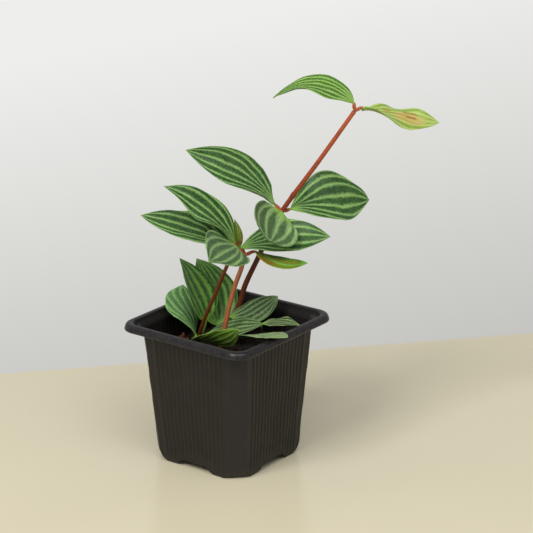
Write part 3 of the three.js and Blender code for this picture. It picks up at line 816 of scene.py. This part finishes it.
def soil_bits():
    """Crumbs, fibres and bits of bark that lie on the compost."""
    draw = random.Random(CRUMB_SEED)
    ball_points, ball_faces = icosphere()
    verts, faces, tone = [], [], []
    inner = wall_half(SOIL_EDGE) - WALL - CRUMB_MARGIN

    def crumb(place, size, colour, rough=0.45):
        start = len(verts)
        turn = (Matrix.Rotation(draw.uniform(0, FULL_TURN), 3, "Z")
                @ Matrix.Rotation(draw.uniform(0, FULL_TURN), 3, "X"))
        seed = draw.uniform(0, 99)
        for p in ball_points:
            bulge = 1 + rough * noise.noise(Vector(p) * 1.7 + Vector((seed, 0, 0)))
            q = turn @ Vector((p[0] * size[0], p[1] * size[1], p[2] * size[2])) * bulge
            verts.append((place[0] + q.x, place[1] + q.y, place[2] + q.z))
            tone.append(colour)
        faces.extend(tuple(start + k for k in face) for face in ball_faces)

    def scattered(count):
        """Random places on the compost, clear of the pot's cut corners."""
        for _ in range(count):
            x, y = draw.uniform(-inner, inner), draw.uniform(-inner, inner)
            if abs(x) + abs(y) <= 2 * inner - CORNER_CUT:
                yield x, y

    for x, y in scattered(CRUMBS):
        size = 0.35 + 0.5 * draw.random() ** 2 + (0.9 if draw.random() < 0.06 else 0.0)
        shape = (size, size * draw.uniform(0.6, 1.0), size * draw.uniform(0.4, 0.9))
        crumb((x, y, soil_top(x, y) + 0.25 * size), shape, draw.random() ** 2)
    for x, y, above, size in CHIPS:
        crumb((x, y, soil_top(x, y) + above), size, draw.uniform(1.0, 1.5), 0.9)
    for x, y in scattered(FIBRES):
        heading, bend = draw.uniform(0, FULL_TURN), draw.uniform(-1.5, 1.5)
        reach, colour = draw.uniform(3, 9), draw.uniform(0.5, 1.2)
        start = len(verts)
        for part in np.linspace(0, 1, FIBRE_STEPS):
            h = heading + bend * part
            px, py = x + reach * part * math.cos(h), y + reach * part * math.sin(h)
            px, py = max(-inner, min(inner, px)), max(-inner, min(inner, py))
            pz = soil_top(px, py) + 0.25 + 0.8 * math.sin(math.pi * part) * abs(bend)
            for a in (0, math.pi / 2, math.pi, 3 * math.pi / 2):
                verts.append((px - FIBRE_HALF * math.sin(h) * math.cos(a),
                              py + FIBRE_HALF * math.cos(h) * math.cos(a),
                              pz + FIBRE_HALF * math.sin(a)))
                tone.append(colour)
        end = start + (FIBRE_STEPS - 1) * 4
        faces.extend(grid_faces(FIBRE_STEPS, 4, start))
        faces += [(start, start + 3, start + 2, start + 1), (end, end + 1, end + 2, end + 3)]
    return add_piece("soil_crumbs", verts, faces, soil_material("compost_bits", True), "compost",
                     values=dict(tone=tone))


def soil_material(name, bits):
    s = Shader(name)
    grain = s.noise(900, 5, 0.65)
    patch = s.noise(160, 3)
    colour = s.mix(s.step(grain, 0.35, 0.7), (0.0035, 0.0024, 0.0018), (0.016, 0.0092, 0.0056))
    colour = s.mix(s.step(patch, 0.45, 0.7, (0.0, 0.5)), colour, (0.023, 0.012, 0.0066))
    if bits:
        colour = s.mix(s.step(s.value("tone"), 0.55, 1.5), colour, (0.17, 0.052, 0.02))
    return s.finish(colour, s.step(grain, 0.3, 0.7, (0.75, 0.95)), s.bump(grain, 0.0006, 0.8), 0.3)


# ---- the pot's shell ----

def wall_half(z):
    return BODY_BOTTOM_HALF + (BODY_TOP_HALF - BODY_BOTTOM_HALF) * z / LIP_BOTTOM


CORNER_STEPS = 14
RIB_CREST = 1.04
# the face whose ribs get the weakest painted shade and highlight, as the light meets it head-on
HEAD_ON_LIT_SIDE = 3


def pot_columns():
    """Round the pot once: (side, kind, place, rib height). Faces are placed in millimetres from
    their middle at the top of the wall, corners by the part of the way round them."""
    columns = []
    rib = [(-0.42, 0.0), (-0.34, 0.25), (-0.26, 0.8), (-0.17, 1.0), (0.0, RIB_CREST), (0.17, 1.0),
           (0.26, 0.8), (0.34, 0.25), (0.42, 0.0)]
    margin = [0.25, 0.5, 0.75, 0.93]
    for side in range(4):
        face = []
        for k in range(RIBS):
            middle = (k - (RIBS - 1) / 2) * RIB_PITCH
            face += [(middle + place * RIB_PITCH, height) for place, height in rib]
        columns += [(side, "margin", -m, 0.0) for m in reversed(margin)]
        columns += [(side, "face", place, height) for place, height in face]
        columns += [(side, "margin", m, 0.0) for m in margin]
        columns += [(side, "corner", k / CORNER_STEPS, 0.0) for k in range(CORNER_STEPS + 1)]
    return columns


COLUMNS = pot_columns()
ONES = np.ones(len(COLUMNS))
LAST_RIB = ((RIBS - 1) / 2 + 0.42) * RIB_PITCH


def pot_ring(z, half, cut, rounded, relief):
    """Points of one ring; z, half and cut may differ from column to column."""
    ring = np.zeros((len(COLUMNS), 3))
    z, half, cut = z * ONES, half * ONES, cut * ONES
    for k, (side, kind, place, height) in enumerate(COLUMNS):
        h, c = half[k], cut[k]
        if kind == "corner":
            flat = (h - c * place, h - c + c * place)
            turn = place * math.pi / 2
            arc = (h - c + c * math.cos(turn), h - c + c * math.sin(turn))
            x = flat[0] + (arc[0] - flat[0]) * rounded
            y = flat[1] + (arc[1] - flat[1]) * rounded
        else:
            scale = h / BODY_TOP_HALF
            if kind == "face":
                y = place * scale
            else:
                near, far = LAST_RIB * scale, h - c
                y = math.copysign(near + (far - near) * abs(place), place)
            x = h + relief * height
        for _ in range(side):
            x, y = -y, x
        ring[k] = (x, y, z[k])
    return ring


def rib_values():
    """0 in the valleys between ribs, 1 on their crests, 0.5 where there are none. They carry the
    painted shade of the valleys and the painted highlight of the crests, which show least on the face
    that the light meets head-on."""
    depths = [0.5 if side == HEAD_ON_LIT_SIDE else 1.0 for side, _, _, _ in COLUMNS]
    heights = [height / RIB_CREST if kind == "face" else 0.5 for _, kind, _, height in COLUMNS]
    return 0.5 + (np.array(heights) - 0.5) * np.array(depths)


def foot_height(ring):
    """Height of the pot's lower edge: arches between the feet and a groove in each foot."""
    lift = np.zeros(len(ring))
    for k, (side, kind, _, _) in enumerate(COLUMNS):
        x, y = ring[k][:2]
        for _ in range(side):
            x, y = y, -x
        if kind != "corner":
            lift[k] = ARCH_LIFT * smooth((ARCH_HALF - abs(y)) / 9.5)
        else:
            across = abs(x - y) / math.sqrt(2)
            lift[k] = GROOVE_LIFT * smooth((3.0 - across) / 1.6) + 0.5 * smooth((across - 3.5) / 2.0)
    return lift


def dent(ring, z):
    """Shallow dents of the thin wall, outward along each column's own direction."""
    push = np.zeros(len(ring))
    for k, (x, y, _) in enumerate(ring):
        angle = math.atan2(y, x)
        p = Vector((math.cos(angle) * 2.2, math.sin(angle) * 2.2, z[k] / 26))
        push[k] = 0.75 * noise.noise(p + Vector((4.0, 1.0, 7.0)))
        push[k] += 0.30 * noise.noise(p * 2.6 + Vector((1.0, 5.0, 2.0))) + 0.10 * noise.noise(p * 6.0)
    # none near the rim and the feet
    return push * smooth((86 - z) / 16) * smooth((z - 3) / 12)


def shifted(ring, push):
    flat = ring[:, :2]
    out = flat / np.linalg.norm(flat, axis=1, keepdims=True)
    ring = ring.copy()
    ring[:, :2] += out * push[:, None]
    return ring


# Height, half width, corner and how round the corners are, from the wall up, round the rolled rim
# and down into the mouth
RIM = (
    (91.2, 43.3, 8.5, 0.15), (92.3, 44.4, 8.9, 0.5), (92.7, 46.5, 8, 0.9), (92.6, 48.4, 9.4, 1),
    (91.8, 49.5, 10.5, 1), (90.8, 50, 11, 1), (90.5, 50.4, 11.4, 1), (90.6, 50.8, 11.8, 1),
    (91, 51, 12, 1), (91.6, 50.95, 12, 1), (92.8, 50.6, 11.7, 1), (93.9, 50.1, 11.2, 1),
    (94.4, 49.7, 10.8, 1), (94.75, 49.1, 10.2, 1), (94.9, 48.3, 9.5, 1), (95, 47.3, 8.8, 1),
    (94.95, 46.5, 8.6, 1), (94.8, 46, 8.5, 1), (94.45, 45.65, 8.4, 1))
MOUTH = ((94.1, 45.5, 8.4, 1), (93.4, 45.2, 8.4, 1), (92.6, 44.6, 8.5, 0.8), (91.4, 43.4, 8.5, 0.5))
CORNER_ROUND = 0.12
CUT_LESS = 0.7  # inside the wall
FOOT_PARTS = (0, 0.004, 0.01, 0.02, 0.035)


def foot_shape(z):
    """How far the wall's lower edge curls in, and how much more its corners are cut there."""
    return (np.interp(z, [0, 0.5, 1.5, 3, 5], [1.1, 0.6, 0.25, 0.05, 0]),
            np.interp(z, [0, 1.5, 3.5, 7], [5.5, 3.2, 1.4, 0]))


def pot_rings():
    """The rings of the pot's skin, from the floor's lower face down inside the feet, up the outside,
    over the rim and down to the floor's upper face, with 0 for the walls' outer face, 1 for the rim
    and -1 for the inside."""
    bottom = pot_ring(0, BODY_BOTTOM_HALF, CORNER_CUT, 0, 0)
    lower = foot_height(bottom)
    wall_parts = np.linspace(0.055, 1, 46)
    rings = []
    under = np.minimum(lower + 0.1, FLOOR_HEIGHT)
    for z in (FLOOR_HEIGHT * ONES, (FLOOR_HEIGHT + under) / 2, under):
        inset, extra = foot_shape(z)
        rings.append(pot_ring(z, wall_half(z) - inset - WALL, CORNER_CUT + extra - CUT_LESS,
                              CORNER_ROUND, 0))
    for part in np.concatenate([FOOT_PARTS, wall_parts]):
        z = lower + (LIP_BOTTOM - 0.3 - lower) * part
        inset, extra = foot_shape(z)
        ring = pot_ring(z, wall_half(z) - inset, CORNER_CUT + extra, CORNER_ROUND,
                        RIB_RELIEF * smooth((part - 0.02) / 0.09))
        rings.append(shifted(ring, dent(bottom, z)))
    outside = len(rings)
    for k, (z, half, cut, rounded) in enumerate(RIM + MOUTH):
        # the ribs run out under the rim
        rings.append(pot_ring(z, half, cut, rounded, 0.3 if k == 0 else 0))
    for part in reversed(wall_parts):
        z = FLOOR_TOP + (LIP_BOTTOM - 0.5 - FLOOR_TOP) * part * ONES
        ring = pot_ring(z, wall_half(z) - WALL, CORNER_CUT - CUT_LESS, CORNER_ROUND,
                        RIB_RELIEF * (1 - part ** 8))
        rings.append(shifted(ring, dent(bottom, z)))
    inside = len(rings) - outside - len(RIM)
    return rings, np.repeat([0.0, 1.0, -1.0], [outside, len(RIM), inside])


def plate(verts, outer, holes, facing_up):
    """Triangles between an outer loop and holes, both given as numbers of points."""
    # the sides bow in a little while the plate is cut up, so that no triangle lies along one
    flat = verts[outer][:, :2]
    ratio = np.abs(flat).min(axis=1) / np.abs(flat).max(axis=1)
    loops = [flat * (1 - 0.02 * (1 - ratio ** 2))[:, None]] + [verts[hole][:, :2] for hole in holes]
    loops = [[Vector((x, y, 0)) for x, y in loop] for loop in loops]
    points = sum(loops, [])
    numbers = np.concatenate([outer] + holes).tolist()
    faces = []
    for a, b, c in geometry.tessellate_polygon(loops):
        up = (points[b] - points[a]).cross(points[c] - points[a])[2] > 0
        a, b, c = numbers[a], numbers[b], numbers[c]
        faces.append((a, b, c) if up == facing_up else (a, c, b))
    return faces


def pot():
    count = len(COLUMNS)
    rings, ring_part = pot_rings()
    verts = np.vstack(rings)
    faces = grid_faces(len(rings), count)
    # the drain holes' edges, round the floor's lower face and then round its upper face
    cosines, sines = circle(DRAIN_SIDES)
    start = len(verts)
    for z in (FLOOR_HEIGHT, FLOOR_TOP):
        for x, y in DRAINS:
            verts = np.vstack([verts, np.hstack([x + DRAIN_RADIUS * cosines, y + DRAIN_RADIUS * sines,
                                                 np.full((DRAIN_SIDES, 1), z)])])
    holes = np.arange(start, len(verts)).reshape(2, len(DRAINS), DRAIN_SIDES)
    faces += plate(verts, np.arange(count), list(holes[0]), False)
    faces += plate(verts, np.arange(start - count, start), list(holes[1]), True)
    for low, high in zip(*holes.tolist()):
        for k in range(DRAIN_SIDES):
            n = (k + 1) % DRAIN_SIDES
            faces.append((low[k], high[k], high[n], low[n]))
    # no ribs close to the feet
    fade = np.array([smooth((ring[0, 2] - 3.0) / 8.0) for ring in rings])[:, None]
    rib = (0.5 + (rib_values() - 0.5) * fade).reshape(-1)
    corner_sheen = np.tile([float(kind == "corner") for _, kind, _, _ in COLUMNS], len(rings))
    more = len(verts) - start
    values = dict(rib=np.append(rib, np.full(more, 0.5)), corner_sheen=np.append(corner_sheen, np.zeros(more)),
                  part=np.append(np.repeat(ring_part, count), np.zeros(more)))
    return add_piece("pot_shell", verts, faces, pot_material(), "pot_plastic", "pot", values, 50)


def pot_material():
    s = Shader("black_plastic")
    rib, part = s.value("rib"), s.value("part")
    rim = s.step(part, 0.3, 0.9)
    inner = s.step(part, 0.0, -0.8)
    fine = s.noise(2600, 3, 0.6)
    cloud = s.noise(55, 4, 0.6)
    scuff = s.noise(420, 5, 0.7, warp=0.8)
    body = s.mix(s.step(cloud, 0.35, 0.7), (0.0085, 0.0066, 0.0052), (0.014, 0.011, 0.0088))
    # painted shade in the valleys between the ribs and a painted highlight on their crests
    body = s.mix(s.step(rib, 0.35, 0.0, (0.0, 0.8)), body, (0.0022, 0.0016, 0.0012))
    body = s.mix(s.step(rib, 0.7, 1.0, (0.0, 0.35)), body, (0.023, 0.0175, 0.013))
    # painted reflection: the cut corners are lighter and less warm than the faces
    body = s.mix(s.times(s.value("corner_sheen"), 0.7), body, (0.0165, 0.0155, 0.0165))
    # painted shade: the inside of the pot is darker than the same plastic outside
    body = s.mix(s.times(inner, 0.6), body, (0.002, 0.0015, 0.0012))
    # rim lighter and bluer than the body: painted reflection of the bright room, mottled by scuffs
    edge = s.mix(s.step(scuff, 0.35, 0.7), (0.0115, 0.0105, 0.0125), (0.026, 0.023, 0.0265))
    colour = s.mix(rim, body, edge)
    colour = s.mix(s.step(scuff, 0.62, 0.8, (0.0, 0.2)), colour, (0.05, 0.046, 0.042))
    rough = s.math("SUBTRACT", s.step(cloud, 0.3, 0.7, (0.42, 0.54)), s.times(rim, 0.22))
    rough = s.add(rough, s.times(inner, 0.25))
    normal = s.bump(s.add(fine, s.times(scuff, 0.6)), 0.00008, 0.4)
    return s.finish(colour, rough, normal, 0.34)


# ---- stage, light and camera ----

AZIMUTH, ELEVATION, ROLL = 37.25, 18.8, -0.3
FOCAL_PIXELS = 2280.0
IMAGE = 533
DISTANCE = 1500.0
LOOK_AT = np.array([0.0, 0.0, 45.0])
LOOK_PIXELS = (-38.4, 122.45)  # of that point from the image's middle
FLOOR_EDGE = ((0, 374), (533, 333))  # two pixels on the floor's far edge
FLOOR_SIDE, FLOOR_DEPTH = 4000, 6000
LAMP_TARGET = Vector((0, 0, 0.1))


def outward(azimuth, elevation):
    """The direction from the plant that an azimuth and an elevation stand for, in degrees."""
    a, e = math.radians(azimuth), math.radians(elevation)
    return np.array([math.sin(a) * math.cos(e), -math.cos(a) * math.cos(e), math.sin(e)])


def camera_frame():
    """The camera's right, up and back directions, and where it stands."""
    a, r = math.radians(AZIMUTH), math.radians(ROLL)
    back = outward(AZIMUTH, ELEVATION)
    right = np.array([math.cos(a), math.sin(a), 0.0])
    up = np.cross(back, right)
    rows = np.array([right * math.cos(r) + up * math.sin(r), up * math.cos(r) - right * math.sin(r),
                     back])
    return rows, LOOK_AT - rows.T @ (pixel_ray(*LOOK_PIXELS) * DISTANCE)


def pixel_ray(right, down):
    """The ray through a pixel counted from the image's middle, as right, up and back."""
    return np.array([right / FOCAL_PIXELS, -down / FOCAL_PIXELS, -1.0])


def to_floor(px, py):
    """The point of the floor seen at a pixel."""
    rows, eye = camera_frame()
    ray = rows.T @ pixel_ray(px - IMAGE / 2, py - IMAGE / 2)
    return eye - ray * (eye[2] / ray[2])


def camera():
    rows, eye = camera_frame()
    data = bpy.data.cameras.new("camera")
    data.sensor_width = 36
    data.lens = FOCAL_PIXELS / IMAGE * data.sensor_width
    data.clip_end = 50
    place = Matrix(rows.T.tolist()).to_4x4()
    place.translation = Vector(eye * MM + AXIS)
    bpy.context.scene.camera = put_in_scene("camera", data)
    bpy.context.scene.camera.matrix_world = place


def floor():
    left, right = (to_floor(*pixel) for pixel in FLOOR_EDGE)
    run = unit(right - left)
    near = np.cross(run, (0, 0, 1))
    a, b = left - run * FLOOR_SIDE, right + run * FLOOR_SIDE
    mesh = new_mesh("floor", [a, b, b + near * FLOOR_DEPTH, a + near * FLOOR_DEPTH], [(0, 1, 2, 3)])
    s = Shader("floor_paper")
    colour = s.mix(s.step(s.noise(6, 3), 0.3, 0.7), (0.685, 0.63, 0.465), (0.705, 0.65, 0.48))
    grain = s.bump(s.noise(700, 3), 0.0001, 0.05)
    mesh.materials.append(s.finish(colour, 0.22, grain, 0.7))
    put_in_scene("floor", mesh)


def world():
    """A wall painted paler upwards and a little towards the left, a painted fall of light, and plain
    soft light.
    """
    studio = bpy.data.worlds.new("studio")
    bpy.context.scene.world = studio
    studio.use_nodes = True
    s = Nodes(studio.node_tree)
    rows, _ = camera_frame()
    dot, mix = s.new("VectorMath"), s.new("MixShader")
    dot.operation = "DOT_PRODUCT"
    s.put(dot.inputs[0], s.new("TexCoord").outputs["Generated"])
    s.put(dot.inputs[1], tuple(rows[1] - 0.2 * rows[0]))
    height = s.step(dot.outputs["Value"], -0.06, 0.11, kind="LINEAR")
    wall = s.ramp(height, [(0, (0.543, 0.539, 0.518)), (1, (0.855, 0.855, 0.838)),
                           (0.35, (0.641, 0.638, 0.616))])
    light = s.fill(s.new("Background"), Color=(1.0, 0.99, 0.965), Strength=0.40)
    seen = s.new("LightPath").outputs["Is Camera Ray"]
    for socket, value in zip(mix.inputs, (seen, light, s.fill(s.new("Background"), Color=wall))):
        s.put(socket, value)
    s.fill(s.new("OutputWorld"), None, Surface=mix.outputs[0])


def softbox(name, azimuth, elevation, distance, side, power, colour):
    """A square area light aimed at the plant; azimuth is counted from the camera's, to the right."""
    back = Vector(outward(AZIMUTH + azimuth, elevation))
    data = bpy.data.lights.new(name, "AREA")
    data.size = side
    data.energy = power
    data.color = colour
    lamp = put_in_scene(name, data)
    lamp.location = Vector(AXIS) + LAMP_TARGET + back * distance
    lamp.rotation_mode = "QUATERNION"
    lamp.rotation_quaternion = back.to_track_quat("Z", "Y")


camera()
floor()
world()
softbox("key", -40, 46, 3.0, 1.25, 58, (1, 0.985, 0.95))
softbox("fill", 24, 52, 2.4, 1.6, 22, (1, 0.99, 0.97))
bpy.context.scene.view_settings.view_transform = "Standard"

pot()
soil()
soil_bits()
for stem_name, row in STEMS.items():
    stem(stem_name, row)
for index, (leaf_name, row) in enumerate(LEAVES.items()):
    leaf(leaf_name, row, index + 1)
